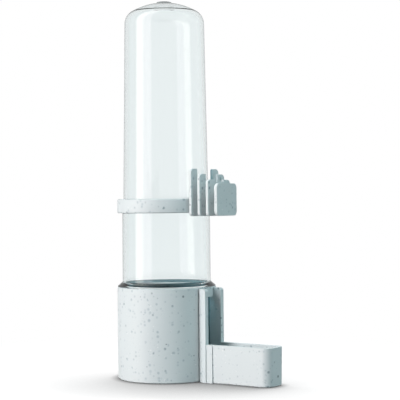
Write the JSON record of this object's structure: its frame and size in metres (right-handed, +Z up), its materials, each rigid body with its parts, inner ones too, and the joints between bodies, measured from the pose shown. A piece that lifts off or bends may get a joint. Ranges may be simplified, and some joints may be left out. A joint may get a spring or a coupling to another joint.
{
  "type": "bird cage waterer",
  "caption": "Bird cage waterer: a clear domed tube standing in a cup with a narrow side trough, and a ring clip with fins that hangs it on the wires of a cage.",
  "frame": {"origin": "on the tube's axis, at the underside of the base cup", "axes": "+Z up along the tube; +X along the trough and the clip's fins, towards the cage; the XZ plane is the mirror plane"},
  "size_m": [0.0754, 0.042, 0.16],
  "materials": {
    "speckled_plastic": "pale grey moulded plastic with fine dark grey specks, satin to glossy",
    "clear_plastic": "clear moulded plastic, glossy, faintly cool in tint"
  },
  "bodies": {
    "base": {"base_cup": "speckled_plastic"},
    "tube": {"reservoir_tube": "clear_plastic"},
    "clip": {"ring_clip": "speckled_plastic"}
  },
  "joints": [
    {"name": "tube_lift", "type": "slide", "parent": "base", "child": "tube", "axis": [0, 0, 1], "range_m": [0, 0.035]},
    {"name": "clip_slide", "type": "slide", "parent": "tube", "child": "clip", "axis": [0, 0, 1], "range_m": [0, 0.09]}
  ]
}
